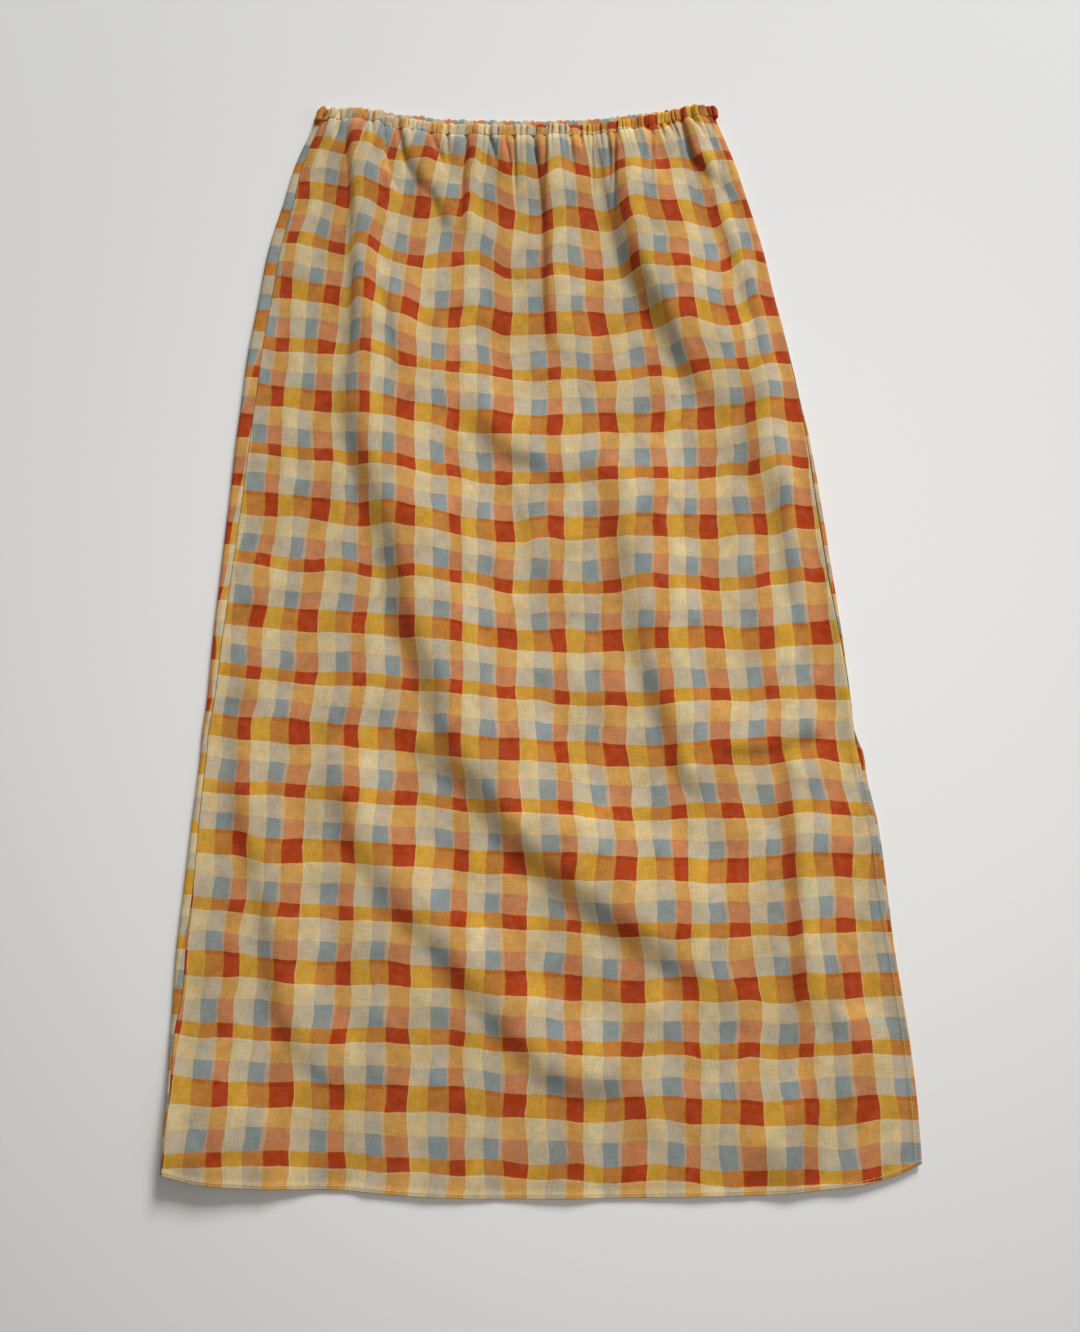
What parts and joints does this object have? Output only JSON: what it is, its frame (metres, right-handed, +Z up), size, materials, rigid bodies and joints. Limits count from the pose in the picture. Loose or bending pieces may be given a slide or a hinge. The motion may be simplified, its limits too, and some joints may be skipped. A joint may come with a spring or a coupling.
{
  "type": "slit midi skirt laid flat",
  "caption": "Pull-on midi skirt of thin checked cloth with a narrow elastic waist casing and a side slit, laid flat with its front up",
  "frame": {"origin": "under the middle of the skirt's bounding box, on the surface that it lies on", "axes": "+X to the right of the skirt as seen, +Y from hem to waist, +Z up, away from the surface"},
  "size_m": [0.5812, 0.8883, 0.0172],
  "materials": {
    "panel_cloth": "thin plain-weave cloth, matt, in an overlapping-stripe check of cream, yellow, red and blue",
    "casing_cloth": "the same checked cloth, drawn up in narrow gathers by a hidden elastic"
  },
  "bodies": {
    "root": {"front_panel": "panel_cloth", "back_panel": "panel_cloth", "front_waist_casing": "casing_cloth", "back_waist_casing": "casing_cloth"}
  },
  "joints": []
}
